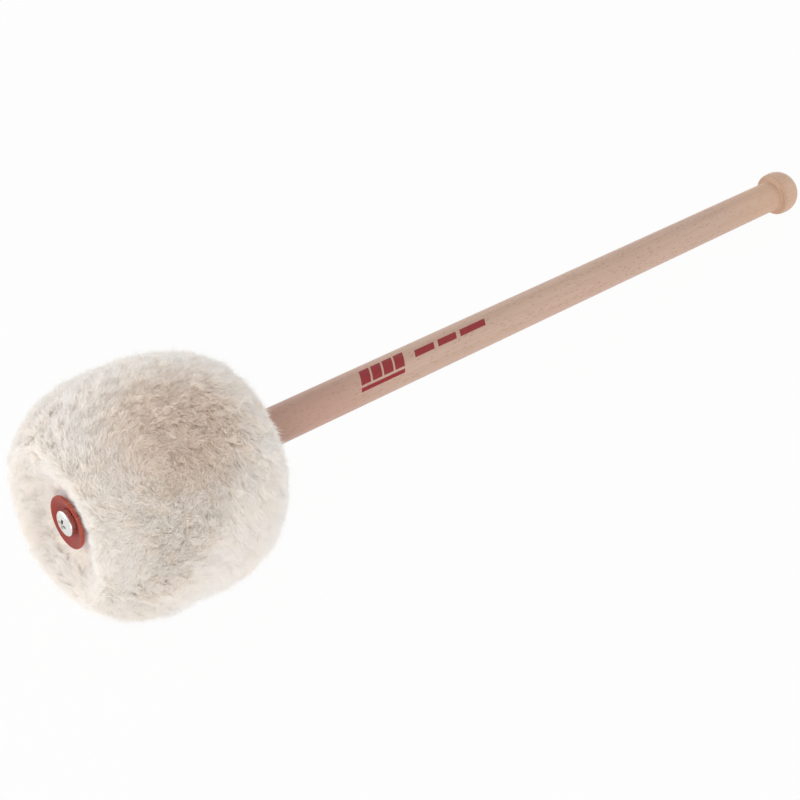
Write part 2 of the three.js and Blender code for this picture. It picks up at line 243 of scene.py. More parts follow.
class MalletFillingSettings(bpy.types.PropertyGroup):
    """Colours of what the head holds inside."""

    core_wood: paint("Core", "Plain turned wood", 207, 174, 132)
    firm_felt: paint("Firm felt", "Wound felt strip", 186, 179, 166)
    soft_felt: paint("Soft felt", "Felt jacket and discs", 228, 221, 207)
    thread: paint("Thread", "Waxed gather thread", 242, 236, 220)


class MalletStageSettings(bpy.types.PropertyGroup):
    """Camera, light and floor."""

    camera_place: numbers("Camera", "Where it stands", (-0.4474, -0.5318, 0.7226), subtype="TRANSLATION")
    camera_azimuth: angle("Azimuth", "Which way the camera looks, from +Y", -38.21)
    camera_elevation: angle("Elevation", "How far the camera looks down", 46.31)
    lens: number("Lens", "Focal length in millimetres on a 36 mm frame", 108, min=1)
    wool_bounces: count("Bounces in wool", "How often light is passed on between pale hairs", 32)
    horizon_light: share("Horizon light", "Strength of the world's light from the sides", 0.56)
    zenith_light: share("Zenith light", "Strength of the world's light from above", 0.54)
    floor: paint("Floor", "Colour of the table", 250, 250, 250)
    floor_glow: share("Floor glow", "How much of the floor is plain white to the camera", 0.95)


# Materials


class Wire:
    """An output of a node. A sum that is written with it adds Math nodes to the same tree."""

    def __init__(self, tree, socket):
        self.tree = tree
        self.socket = socket

    def other(self, output):
        """Another output of the same node."""
        return Wire(self.tree, self.socket.node.outputs[output])

    def parts(self):
        """The three numbers of a vector."""
        split = self.tree.node("SeparateXYZ", None, {0: self})
        return [split.other(i) for i in range(3)]

    def math(self, operation, *rest):
        return self.tree.math(operation, self, *rest)

    def __add__(self, other):
        return self.math("ADD", other)

    def __radd__(self, other):
        return self.tree.math("ADD", other, self)

    def __sub__(self, other):
        return self.math("SUBTRACT", other)

    def __rsub__(self, other):
        return self.tree.math("SUBTRACT", other, self)

    def __mul__(self, other):
        return self.math("MULTIPLY", other)

    def __rmul__(self, other):
        return self.tree.math("MULTIPLY", other, self)

    def __pow__(self, other):
        return self.math("POWER", other)

    def __abs__(self):
        return self.math("ABSOLUTE")


class Tree:
    """The nodes of a material or a world, put together in code."""

    def __init__(self, owner):
        owner.use_nodes = True
        self.nodes = owner.node_tree.nodes
        self.links = owner.node_tree.links

    def feed(self, name, sockets):
        """Sets sockets of a node, each to a value or to a wire."""
        inputs = self.nodes[name].inputs
        for socket, value in sockets.items():
            if isinstance(value, Wire):
                self.links.new(value.socket, inputs[socket])
            else:
                inputs[socket].default_value = value

    def first(self, name):
        """The first output of a node that the tree came with."""
        return Wire(self, self.nodes[name].outputs[0])

    def node(self, kind, settings=None, sockets=None, output=0):
        """A new node. Its settings come first, and then the value or the wire of each socket."""
        made = self.nodes.new("ShaderNode" + kind)
        for name, value in (settings or {}).items():
            setattr(made, name, value)
        self.feed(made.name, sockets or {})
        return Wire(self, made.outputs[output])

    def math(self, operation, *terms):
        return self.node("Math", {"operation": operation}, dict(enumerate(terms)))

    def seen_directly(self):
        """1 for what the camera sees, also in a mirror or through glass."""
        seen = path = self.node("LightPath", output="Is Camera Ray")
        for name in ("Is Glossy Ray", "Is Transmission Ray"):
            seen = seen.math("MAXIMUM", path.other(name))
        return seen

    def mixed(self, output, factor, first, second):
        """Shows two shaders, mixed, at the output node."""
        shader = self.node("MixShader", None, {0: factor, 1: first, 2: second})
        self.feed(output, {"Surface": shader})


class Finish(Tree):
    """A material with one Principled shader."""

    def __init__(self, name, constants):
        self.material = bpy.data.materials.new(name)
        super().__init__(self.material)
        self.feed("Principled BSDF", constants)

    def done(self, varying):
        """The material, once what varies over the surface is fed to the shader."""
        self.feed("Principled BSDF", varying)
        return self.material

    def point(self):
        """The place in the model's frame."""
        return self.node("TexCoord", output="Object")

    def own_point(self):
        """The place in the mallet's own frame, on any piece of it."""
        own = {"Vector": self.point(), "Location": HEAD_MIDDLE, "Rotation": (0, LEAN, 0)}
        return self.node("Mapping", {"vector_type": "TEXTURE"}, own)

    def scaled(self, vector, factors):
        """A vector times one factor for each axis."""
        return self.node("VectorMath", {"operation": "MULTIPLY"}, {0: vector, 1: factors})

    def noise(self, vector, scale, detail=2.0, rough=0.5, distortion=0.0):
        """Noise from 0 to 1, with one scale, or with one for each axis."""
        if isinstance(scale, tuple):
            vector = self.scaled(vector, scale)
            scale = 1
        sockets = {"Vector": vector, "Scale": scale, "Detail": detail, "Roughness": rough}
        return self.node("TexNoise", None, {**sockets, "Distortion": distortion}, "Fac")

    def between(self, value, low, high):
        """0 at low, 1 at high, and a smooth step between them. Low may be the larger one."""
        sockets = {"Value": value, "From Min": low, "From Max": high}
        return self.node("MapRange", {"interpolation_type": "SMOOTHSTEP"}, sockets)

    def blend(self, factor, first, second):
        """A colour between two colours."""
        sockets = {0: factor, 6: as_colour(first), 7: as_colour(second)}
        return self.node("Mix", {"data_type": "RGBA"}, sockets, 2)

    def shaded(self, colour, factor):
        """A colour times a number."""
        grey = self.node("CombineColor", None, {0: factor, 1: factor, 2: factor})
        sockets = {0: 1.0, 6: as_colour(colour), 7: grey}
        return self.node("Mix", {"data_type": "RGBA", "blend_type": "MULTIPLY"}, sockets, 2)

    def bump(self, height, depth, strength):
        """Relief from a height between 0 and 1, which is this deep in metres."""
        return self.node("Bump", None, {"Height": height, "Distance": depth, "Strength": strength})


def as_colour(value):
    """A colour setting as a socket wants it."""
    return value if isinstance(value, Wire) else (*value, 1)


def from_axis(side, up):
    """The wire of how far a place lies from an axis."""
    return (side * side + up * up).math("SQRT")


def wave(phase):
    """The wire of a sine between 0 and 1."""
    return phase.math("SINE") * 0.5 + 0.5


def printed_marks(finish, own, settings):
    """The mask of the print: slanted bars over a line, and three dashes farther along."""
    along, side, up = own.parts()
    turn = (side * -1).math("ARCTAN2", up)
    grip_radius = (settings.head_end_diameter + settings.knob_end_diameter) / 4
    soft = 0.12 * MM

    def stripe(start, long, middle_turn, offset, high):
        """1 inside a slanted stripe, from its start, and from how far round the wood it lies."""
        height = (turn - middle_turn) * grip_radius
        past_end = abs(along - start - long / 2 + height * settings.print_slant) - long / 2
        past_side = abs(height - offset) - high / 2
        return finish.between(past_end.math("MAXIMUM", past_side), soft, -soft)

    tall = settings.bar_height + settings.line_gap + settings.line_height
    bar_offset = (settings.bar_height - tall) / 2
    line_offset = (tall - settings.line_height) / 2
    pitch = (settings.print_length + settings.bar_gap) / settings.bar_count
    start = settings.print_place
    turned_by = settings.print_turn
    mask = stripe(start, settings.print_length, turned_by, line_offset, settings.line_height)
    for i in range(settings.bar_count):
        bar = stripe(start + i * pitch, pitch - settings.bar_gap, turned_by, bar_offset, settings.bar_height)
        mask = mask.math("MAXIMUM", bar)
    start = settings.dash_place
    for dash_length in settings.dash_lengths:
        dash = stripe(start, dash_length, settings.dash_turn, 0, settings.dash_height)
        mask = mask.math("MAXIMUM", dash)
        start += dash_length + settings.dash_gap
    return mask


def beech(settings):
    """Lacquered beech with straight grain, ray flecks and the red print."""
    lacquer = {"Coat Weight": 0.22, "Coat Roughness": 0.3, "Specular IOR Level": 0.4}
    finish = Finish("lacquered_beech", lacquer)
    own = finish.own_point()
    along = own.parts()[0]
    bands = finish.noise(own, (7, 330, 330), 2, 0.55, 0.4)
    fibre = finish.noise(own, (45, 1900, 1900), 4, 0.6)
    pores = finish.between(finish.noise(own, (160, 3600, 3600), 1), 0.62, 0.74)
    ray_place = finish.scaled(own, (330, 1500, 1500))
    rays = finish.node("TexVoronoi", None, {"Vector": ray_place, "Scale": 1})
    flecks = finish.between(rays, 0.44, 0.18) * finish.between(rays.other("Color"), 0.42, 0.56)
    figure = finish.between(bands, 0.3, 0.7) * 0.4 + fibre * 0.6
    wood = finish.blend(figure, settings.light_wood, settings.dark_wood)
    wood = finish.blend(flecks * 0.4 + pores * 0.2, wood, settings.fleck)

    # Broad drifts of tone, a pinker and darker stretch behind the head, a warmer knob, and painted shade at
    # the foot of the knob's step
    pink_end = 125 * MM
    pink_full = 75 * MM
    warm_start = BUTT_END - 60 * MM
    warm_full = BUTT_END - 12 * MM
    drift = finish.noise(own, (16, 50, 50))
    behind_head = finish.between(along, pink_end, pink_full)
    wood = finish.blend(behind_head * 0.5, wood, settings.pink_wood)
    wood = finish.blend(finish.between(along, warm_start, warm_full) * 0.5, wood, settings.warm_wood)
    # Painted shade: the wood is darkened in a narrow band round the corner at the foot of the knob's step
    step_shade_end = 1.6 * MM
    step_shade_full = 0.2 * MM
    from_step = abs(along - (BUTT_END - settings.knob_length))
    painted_step_shade = finish.between(from_step, step_shade_end, step_shade_full) * 0.12
    wood = finish.shaded(wood, 0.925 + drift * 0.14 - behind_head * 0.03 - painted_step_shade)

    speckle = finish.between(finish.noise(own, 5200), 0.62, 0.72)
    ink = printed_marks(finish, own, settings) * (1 - speckle * 0.35)
    relief = fibre * 0.6 - pores * 0.5 - flecks * 0.25 + ink * 0.35
    return finish.done({
        "Base Color": finish.blend(ink, wood, settings.print_ink),
        "Roughness": 0.4 + fibre * 0.12 + drift * 0.06 - ink * 0.06,
        "Normal": finish.bump(relief, depth=0.045 * MM, strength=0.6),
    })


def fleece(settings):
    """Cream pile. Hairs carry how far along them a point is, and the tone of their lock."""
    finish = Finish("fleece_pile", {"Roughness": 0.9, "Specular IOR Level": 0.0})
    point = finish.point()
    from_root = finish.node("Attribute", {"attribute_name": "from_root"}, output="Fac")
    lock_tone = finish.node("Attribute", {"attribute_name": "lock_tone"}, output="Fac")
    cloud = finish.noise(point, 48)
    mottle = finish.noise(point, 240, 3, 0.6)
    # Painted shade: hairs turn a touch darker and warmer towards their roots, deep in the pile
    tipped = finish.between(from_root + (mottle - 0.5) * 0.4, 0.05, 0.95)
    wool = finish.blend(tipped, settings.root, settings.tip)
    warm = finish.between(lock_tone * 0.55 + cloud * 0.6, 0.45, 0.85)
    wool = finish.blend(warm * 0.4, wool, settings.stain)

    # Painted shade: the wool turns warmer and darker round a spot on the upper side of the head, where shade
    # falls in the middle of the head, and fades out round it
    shade_middle = Vector((0, -math.sin(settings.painted_shade_turn), math.cos(settings.painted_shade_turn))) * COVER_RADIUS
    ends = {0: finish.own_point(), 1: shade_middle}
    away = finish.node("VectorMath", {"operation": "DISTANCE"}, ends, "Value")
    painted_shade = finish.between(away, settings.painted_shade_reach, settings.painted_shade_reach * 0.3)
    wool = finish.blend(painted_shade, wool, settings.painted_shade)

    wool = finish.shaded(wool, 0.97 + mottle * 0.03 + lock_tone * 0.02)
    through = finish.node("BsdfTranslucent", None, {"Color": wool})
    finish.mixed("Material Output", settings.translucency, finish.first("Principled BSDF"), through)
    return finish.done({"Base Color": wool})


def backing(settings):
    """Knitted backing with the matted feet of the pile."""
    dull = {"Roughness": 0.95, "Sheen Weight": 0.3, "Specular IOR Level": 0.15}
    finish = Finish("fleece_backing", dull)
    point = finish.point()
    mottle = finish.noise(point, 260, 3, 0.6)
    fibres = finish.noise(point, 2600, 3, 0.7, 1.5)
    wool = finish.blend(mottle * 0.5 + fibres * 0.5, settings.root, settings.tip)
    return finish.done({
        "Base Color": finish.shaded(wool, 0.92 + fibres * 0.08),
        "Normal": finish.bump(fibres * 0.5 + mottle, depth=0.6 * MM, strength=0.7),
    })


def vulcanised_fibre(settings):
    """Red vulcanised fibre: short paper fibres, rubbed round the screw and along the edge."""
    burnished = {"Coat Weight": 0.08, "Coat Roughness": 0.4, "Specular IOR Level": 0.35}
    finish = Finish("red_fibre", burnished)
    own = finish.own_point()
    _, side, up = own.parts()
    radius = from_axis(side, up)
    paper = finish.noise(own, (1500, 900, 2600), 4, 0.65, 0.6)
    blotch = finish.noise(own, 320, 3)
    rings = finish.node("CombineXYZ", None, {0: radius * 9000, 1: side.math("ARCTAN2", up) * 1.6})
    scuff = finish.between(finish.noise(rings, 1), 0.58, 0.72)
    rubbed_end = SCREW_RADIUS + 1.6 * MM
    rubbed_full = SCREW_RADIUS + 0.2 * MM
    edge_start = WASHER_RADIUS - 0.7 * MM
    edge_full = WASHER_RADIUS - 0.05 * MM
    rubbed = finish.between(radius, rubbed_end, rubbed_full)
    edge = finish.between(radius, edge_start, edge_full)
    worn = scuff * (rubbed * 0.5 + 0.18) + edge * blotch * 0.7
    colour = finish.blend(worn.math("MINIMUM", 1), settings.red_fibre, settings.worn_fibre)
    return finish.done({
        "Base Color": finish.shaded(colour, 0.82 + paper * 0.2 + blotch * 0.16),
        "Roughness": 0.4 + paper * 0.16 + worn * 0.12,
        "Normal": finish.bump(paper + scuff * 0.3, depth=0.05 * MM, strength=0.6),
    })


def nickel_plate(settings):
    """Bright nickel with fine turning marks, duller at the bottom of the recess."""
    finish = Finish("bright_nickel", {"Metallic": 1.0})
    own = finish.own_point()
    along, side, up = own.parts()
    radius = from_axis(side, up)
    marks = finish.noise(finish.node("CombineXYZ", None, {0: radius * 14000}), 1)
    haze = finish.noise(own, 700, 3)
    recess = settings.recess_span / 2
    soft = 0.1 * MM
    deep_start = SCREW_FACE + 1.2 * MM
    deep_full = SCREW_FACE + 1.8 * MM
    deep = finish.between(along, deep_start, deep_full)
    dull = deep * finish.between(radius, recess + soft, recess - soft)
    plate = finish.blend(haze * 0.2, settings.nickel, settings.tarnish)
    return finish.done({
        "Base Color": finish.shaded(plate, 1 - dull * 0.2),
        "Roughness": 0.22 + haze * 0.12 + dull * 0.4,
        "Normal": finish.bump(marks, depth=0.006 * MM, strength=0.4),
    })


def felt(name, colour, depth):
    """Pressed wool felt: matted fibres in two sizes and soft drifts of grey."""
    finish = Finish(name, {"Roughness": 0.95, "Sheen Weight": 0.35, "Specular IOR Level": 0.15})
    point = finish.point()
    fibres = finish.noise(point, 2300, 4, 0.7, 2.0)
    mat = finish.noise(point, 420, 3, 0.6, 1.0)
    drift = finish.noise(point, 60)
    return finish.done({
        "Base Color": finish.shaded(colour, 0.82 + fibres * 0.16 + mat * 0.1 + drift * 0.08),
        "Normal": finish.bump(fibres * 0.6 + mat, depth, strength=0.8),
    })


def plain_wood(colour):
    """Unfinished turned wood with growth rings, off the middle of the tree, and tool marks."""
    finish = Finish("turned_core_wood", {"Specular IOR Level": 0.3})
    own = finish.own_point()
    along, side, up = own.parts()
    ring_width = 1.8 * MM
    mark_width = 0.7 * MM
    tree_side = 22 * MM
    tree_up = 9 * MM
    rings = wave(from_axis(side + tree_side, up + tree_up) * (FULL_TURN / ring_width))
    fibre = finish.noise(own, (60, 1500, 1500), 4, 0.6)
    marks = wave(along * (FULL_TURN / mark_width))
    return finish.done({
        "Base Color": finish.shaded(colour, 0.78 + fibre * 0.2 + rings * 0.12),
        "Roughness": 0.6 + fibre * 0.2,
        "Normal": finish.bump(fibre * 0.6 + marks * 0.4, depth=0.08 * MM, strength=0.6),
    })


def waxed_thread(colour):
    """Twisted cotton with a dull wax coat."""
    finish = Finish("waxed_thread", {"Specular IOR Level": 0.45})
    own = finish.own_point()
    along, side, up = own.parts()
    twist = wave(side.math("ARCTAN2", up) * 40 + along * 5200) ** 0.7
    wax = finish.noise(own, 1400, 3)
    return finish.done({
        "Base Color": finish.shaded(colour, 0.76 + twist * 0.2 + wax * 0.08),
        "Roughness": 0.5 + wax * 0.25,
        "Normal": finish.bump(twist + wax * 0.3, depth=0.12 * MM, strength=0.7),
    })


# Shapes


def arc(steps):
    """The cosine and sine of even steps through a quarter turn."""
    turns = [math.pi / 2 * i / steps for i in range(steps + 1)]
    return [(math.sin(left), math.sin(turn)) for left, turn in zip(reversed(turns), turns)]


def unit(vectors):
    """Rows at length one."""
    return vectors / np.maximum(np.linalg.norm(vectors, axis=-1, keepdims=True), 1e-9)


def ease(value):
    """A smooth step from 0 to 1."""
    held = np.clip(value, 0, 1)
    return held * held * (3 - 2 * held)


def resampled(outline, step):
    """An outline with points this far apart along it."""
    points = np.array(outline)
    run = np.concatenate([[0], np.cumsum(np.linalg.norm(np.diff(points, axis=0), axis=1))])
    places = np.linspace(0, run[-1], round(run[-1] / step) + 1)
    return np.stack([np.interp(places, run, points[:, k]) for k in range(2)], 1)


def spun(outline, steps):
    """A bmesh turned from an outline of places along the axis and radii."""
    bm = bmesh.new()
    corners = [bm.verts.new((place, 0, radius)) for place, radius in outline]
    line = corners + [bm.edges.new(pair) for pair in zip(corners, corners[1:])]
    bmesh.ops.spin(
        bm, geom=line, cent=(0, 0, 0), axis=(1, 0, 0), angle=FULL_TURN, steps=steps, use_merge=True
    )
    bmesh.ops.remove_doubles(bm, verts=bm.verts, dist=0.001 * MM)
    bmesh.ops.recalc_face_normals(bm, faces=bm.faces)
    return bm


def mesh_of(name, bm):
    """A mesh from a bmesh, which is freed."""
    mesh = bpy.data.meshes.new(name)
    bm.to_mesh(mesh)
    bm.free()
    return mesh


def added(name, data):
    """An object in the scene."""
    thing = bpy.data.objects.new(name, data)
    bpy.context.scene.collection.objects.link(thing)
    return thing


def show(name, mesh, material):
    """A piece with this mesh, riding on the mallet."""
    mesh.name = name
    mesh.materials.clear()
    mesh.materials.append(material)
    piece = added(name, mesh)
    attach(piece, "root")
    return piece


def new_piece(name, bm, material):
    """A smooth piece from a bmesh in the mallet's own frame, with its place in its mesh."""
    bmesh.ops.transform(bm, matrix=POSE, verts=bm.verts)
    mesh = mesh_of(name, bm)
    mesh.shade_smooth()
    mesh.set_sharp_from_angle(angle=SHARP_ANGLE)
    return show(name, mesh, material)


def finished_mesh(piece):
    """A copy of a piece's mesh with its modifiers applied."""
    bpy.context.view_layer.update()
    return bpy.data.meshes.new_from_object(piece.evaluated_get(bpy.context.evaluated_depsgraph_get()))


def handle_outline(settings):
    """Tenon, shoulder, long taper, and a knob with a small step and a domed butt."""
    tenon = settings.tenon_diameter / 2
    head_end = settings.head_end_diameter / 2
    knob_end = settings.knob_end_diameter / 2
    chamfer = settings.shoulder_chamfer
    shoulder = settings.shoulder_place
    neck = settings.knob_neck
    edge = settings.edge_round
    butt = settings.butt_flat / 2
    step = BUTT_END - settings.knob_length
    step_radius = knob_end + settings.knob_step
    widest = step + settings.knob_widest
    outline = [
        (TENON_END, 0),
        (TENON_END, tenon - chamfer),
        (TENON_END + chamfer, tenon),
        (shoulder, tenon),
        (shoulder, head_end - chamfer),
    ]
    taper_steps = 24
    taper_start = shoulder + chamfer
    taper_end = step - neck
    for i in range(taper_steps):
        done = i / taper_steps
        radius = head_end + (knob_end - head_end) * done
        outline.append((taper_start + (taper_end - taper_start) * done, radius))
    for cosine, sine in arc(steps=6):
        outline.append((taper_end + neck * sine, knob_end + neck * (1 - cosine)))
    for cosine, sine in arc(steps=4):
        outline.append((step + edge * (1 - cosine), step_radius - edge * (1 - sine)))
    swell_start = step + edge
    for cosine, sine in arc(steps=10)[1:]:
        radius = step_radius + (KNOB_RADIUS - step_radius) * sine
        outline.append((swell_start + (widest - swell_start) * (1 - cosine), radius))
    for cosine, sine in arc(steps=18)[1:]:
        outline.append((widest + (BUTT_END - widest) * sine, butt + (KNOB_RADIUS - butt) * cosine))
    return [*outline, (BUTT_END, 0)]


def seat_of(places, settings):
    """The radius of the seat at the end of the head that each place along the axis is nearer to."""
    return np.where(places < 0, settings.front_seat, settings.rear_seat)


def pile_outline(settings):
    """The pile's surface from the screw to the handle, as places along the axis and radii."""
    end = settings.barrel_length / 2
    hem = -WASHER_FACE - settings.hem_depth
    roundness = 2.7
    halves = []
    ends = ((settings.front_seat, settings.front_hole), (settings.rear_seat, settings.rear_hole))
    for seat, hole in ends:
        turn = np.linspace(0, math.pi / 2, 200)
        radius = seat + (COVER_RADIUS - seat) * np.sin(turn) ** (2 / roundness)
        full = end * np.maximum(0, 1 - (radius / COVER_RADIUS) ** roundness) ** (1 / roundness)
        pull = full[0] - hem
        place = full - pull * (1 - ease((radius - seat) / settings.draw_in_reach))
        halves.append(np.concatenate([[[hem, hole]], np.stack([place, radius], 1)]))
    front, rear = halves
    return np.concatenate([front * (-1, 1), rear[-2::-1]])


def backing_skin(settings):
    """The outside of the backing, lumpy as matted wool is, and pressed flat on the table."""
    full_pile_reach = 9 * MM
    full_lump_reach = 12 * MM
    lump = 1.3 * MM
    lump_scale = 36
    curl = 0.5 * MM
    curl_scale = 230
    table_gap = 0.5 * MM
    outline = resampled(pile_outline(settings), step=1.1 * MM)
    from_seat = outline[:, 1] - seat_of(outline[:, 0], settings)
    depth = settings.pile_depth * ease(from_seat / full_pile_reach)
    run = np.gradient(outline, axis=0)
    inwards = unit(np.stack([run[:, 1], -run[:, 0]], 1))
    bm = spun(outline + inwards * depth[:, None], steps=240)
    bmesh.ops.transform(bm, matrix=POSE, verts=bm.verts)
    bm.normal_update()
    for corner in bm.verts:
        own = TO_OWN @ corner.co
        from_seat = math.hypot(own.y, own.z) - seat_of(own.x, settings)
        free = float(ease(from_seat / full_lump_reach))
        rise = lump * noise.noise(corner.co * lump_scale) + curl * noise.noise(corner.co * curl_scale)
        corner.co += corner.normal * rise * free
        corner.co.z = max(corner.co.z, table_gap)
    return bm


def scatter(mesh, settings, draw, total):
    """Places and directions of hair roots, spread evenly over the backing's skin."""
    quads = numbers_of(mesh.loops, "vertex_index", np.int32, 1).reshape(-1, 4)
    quads = np.take_along_axis(quads, (quads.argmin(1)[:, None] + np.arange(4)) % 4, 1)
    # Blender lists the faces in another order on each run, and sorted they take the same draws each time
    quads = quads[np.lexsort(quads.T[::-1])]
    corners = numbers_of(mesh.vertices, "co").astype(float)[quads]
    across = np.cross(corners[:, 2] - corners[:, 0], corners[:, 3] - corners[:, 1])
    own = turned(corners.mean(1), TO_OWN)
    bare = 0.3 * MM
    weight = np.linalg.norm(across, axis=1) * (radii_of(own) > seat_of(own[:, 0], settings) + bare)
    chosen = draw.choice(len(weight), total, p=weight / weight.sum())
    a, b = draw.random((2, total, 1))
    quad = corners[chosen]
    first = quad[:, 0] * (1 - a) + quad[:, 1] * a
    second = quad[:, 3] * (1 - a) + quad[:, 2] * a
    return first * (1 - b) + second * b, unit(across)[chosen]


def flat_on(vectors, normals):
    """Rows laid into the surface, at length one."""
    return unit(vectors - (vectors * normals).sum(1, keepdims=True) * normals)


# Least and most of a lock's lean in degrees, of its curl in millimetres, and of the turns of its curl
ROOT_LEAN = (12, 30)
TIP_LEAN = (50, 85)
CURL = (0.1, 0.8)
CURL_TURNS = (0.5, 1.3)
LOOSE_SHARE = 0.13


class Locks:
    """The locks that the hairs are drawn into: where each grows, and how it leans and curls."""

    def __init__(self, roots, normals, settings, draw):
        self.roots = roots
        self.normals = normals
        total = len(roots)
        own = turned(roots, TO_OWN)
        combed_reach = 15 * MM
        flow_scale = 22
        lump_scale = 60
        combed = 1 - ease((radii_of(own) - seat_of(own[:, 0], settings)) / combed_reach)
        wild = (1 - combed)[:, None]
        flow = np.array([noise.noise_vector(Vector(root) * flow_scale) for root in roots])
        flow = flat_on(flow, normals) + 0.4 * flat_on(draw.normal(size=(total, 3)), normals)
        outwards = flat_on(roots - np.array(HEAD_MIDDLE) - own[:, :1] * np.array(AXIS), normals)
        self.flow = flat_on(flow * wild + outwards * 2.5 * combed[:, None], normals)
        lumps = np.array([noise.noise(Vector(root) * lump_scale) for root in roots])
        self.length = settings.hair_length * (1 + 0.14 * lumps + 0.06 * draw.normal(size=total))
        self.length *= 1 - 0.52 * combed
        self.lean = np.radians(draw.uniform(*ROOT_LEAN, total)) + 0.6 * combed
        self.bend = np.radians(draw.uniform(*TIP_LEAN, total)) + 0.4 * combed
        self.curl = draw.uniform(*CURL, total) * MM * (1 - combed)
        self.curl_turns = draw.uniform(*CURL_TURNS, total) * draw.choice([-1, 1], total)
        self.curl_start = draw.uniform(0, FULL_TURN, total)
        self.tone = draw.random(total)
        self.map = kdtree.KDTree(total)
        for i, root in enumerate(roots):
            self.map.insert(root, i)
        self.map.balance()

    def nearest(self, points):
        return np.array([self.map.find(point)[1] for point in points])

    def path(self, which, rings, roots, normals, flow, length):
        """Centre lines of hairs that lean and curl as these locks do, from their own roots."""
        lean, bend, curl, curl_turns, curl_start = (
            values[which][:, None]
            for values in (self.lean, self.bend, self.curl, self.curl_turns, self.curl_start)
        )
        turn = lean + (bend - lean) * rings
        up = (np.sin(turn) - np.sin(lean)) / (bend - lean)
        out = (np.cos(lean) - np.cos(turn)) / (bend - lean)
        phase = curl_start + FULL_TURN * curl_turns * rings
        swing = curl * rings
        across = np.cross(flow, normals)
        run = length[:, None]
        return (
            roots[:, None]
            + (run * up + swing * np.sin(phase))[..., None] * normals[:, None]
            + (run * out)[..., None] * flow[:, None]
            + (swing * np.cos(phase))[..., None] * across[:, None]
        )


def hair_template(heights):
    """One hair as a cone of unit size: three sides, with a ring at each height between foot and tip."""
    bm = bmesh.new()
    bmesh.ops.create_cone(bm, cap_ends=True, segments=3, radius1=1, radius2=0, depth=1)
    bmesh.ops.remove_doubles(bm, verts=bm.verts, dist=0.001)
    bmesh.ops.translate(bm, vec=(0, 0, 0.5), verts=bm.verts)
    for height in heights:
        whole = bm.verts[:] + bm.edges[:] + bm.faces[:]
        bmesh.ops.bisect_plane(bm, geom=whole, plane_co=(0, 0, height), plane_no=(0, 0, 1))
    return mesh_of("hair", bm)


def copied(mesh, total):
    """A mesh with many copies of another one, all in the same place."""
    seed = added("seed", mesh)
    rows = seed.modifiers.new("copies", "ARRAY")
    rows.fit_type = "FIXED_COUNT"
    rows.count = total
    rows.use_relative_offset = False
    made = finished_mesh(seed)
    bpy.data.objects.remove(seed)
    return made


def smooth_floor(value, low, soft):
    """The larger of a value and low, with a soft turn between them."""
    return low + soft * np.logaddexp(0, (value - low) / soft)


def kept_clear(path, settings):
    """Centre lines kept above the table, off the washer and off the handle."""
    seat_slack = 0.1 * MM
    ahead_of_hem = 4 * MM
    push_reach = 3 * MM
    own = turned(path, TO_OWN)
    radius = radii_of(own)
    hem = -WASHER_FACE - settings.hem_depth
    over_washer = np.maximum(WASHER_FACE - own[..., 0], 0)
    beside_washer = settings.front_seat - seat_slack + over_washer * settings.washer_clearance
    least = np.where(own[..., 0] < 0, beside_washer, settings.handle_clearance)
    near_end = ease((np.abs(own[..., 0]) - (hem - ahead_of_hem)) / push_reach)
    grown = np.where(radius < least, 1 + (least / np.maximum(radius, 1e-6) - 1) * near_end, 1)
    own[..., 1:] *= grown[..., None]
    clear = turned(own, POSE)
    clear[..., 2] = smooth_floor(clear[..., 2], low=0.35 * MM, soft=0.3 * MM)
    return clear


def hair_paths(roots, normals, locks, settings, draw, rings, growth):
    """Centre lines of hairs: each leans by itself at its root, and is drawn to the tip of its lock."""
    total = len(roots)
    which = locks.nearest(roots)
    loose = draw.random(total) < LOOSE_SHARE
    flow = flat_on(locks.flow[which] + 0.5 * draw.normal(size=(total, 3)), normals)
    length = locks.length[which] * growth * (1 + 0.08 * draw.normal(size=total))
    length = length * np.where(loose, 1.16, 1)
    alone = locks.path(which, rings, roots, normals, flow, length)
    of_lock = [values[which] for values in (locks.roots, locks.normals, locks.flow, locks.length)]
    middle = locks.path(which, rings, *of_lock)
    drawn = np.where(loose, 0, draw.uniform(0, 0.22, total))[:, None] * rings**1.2
    path = alone + (middle - alone) * drawn[..., None]
    stray = draw.normal(size=(total, 1, 3))
    path += rings[None, :, None] ** 1.5 * stray * np.where(loose, 1, 0.35)[:, None, None] * MM
    return kept_clear(path, settings), which, loose


def laid_hair(mesh, path, radius, heights):
    """Moves the copies of the hair template onto their centre lines."""
    unit_hair = numbers_of(mesh.vertices, "co")[: len(mesh.vertices) // len(path)]
    ring = np.searchsorted(heights, unit_hair[:, 2] - 0.01)
    thick_share = 1 - heights[ring] ** 2
    tangent = unit(np.gradient(path, axis=1))
    aside = np.array([0.36, 0.48, 0.8])
    first = unit(np.cross(tangent, aside))
    second = np.cross(tangent, first)
    reach = unit_hair[:, :2] / np.maximum(np.linalg.norm(unit_hair[:, :2], axis=1, keepdims=True), 1e-6)
    reach = reach * thick_share[:, None]
    corners = path[:, ring] + radius[:, None, None] * (
        first[:, ring] * reach[None, :, :1] + second[:, ring] * reach[None, :, 1:]
    )
    table_gap = 0.05 * MM
    corners[..., 2] = np.maximum(corners[..., 2], table_gap)
    mesh.vertices.foreach_set("co", corners.astype(np.float32).ravel())
    return unit_hair, ring


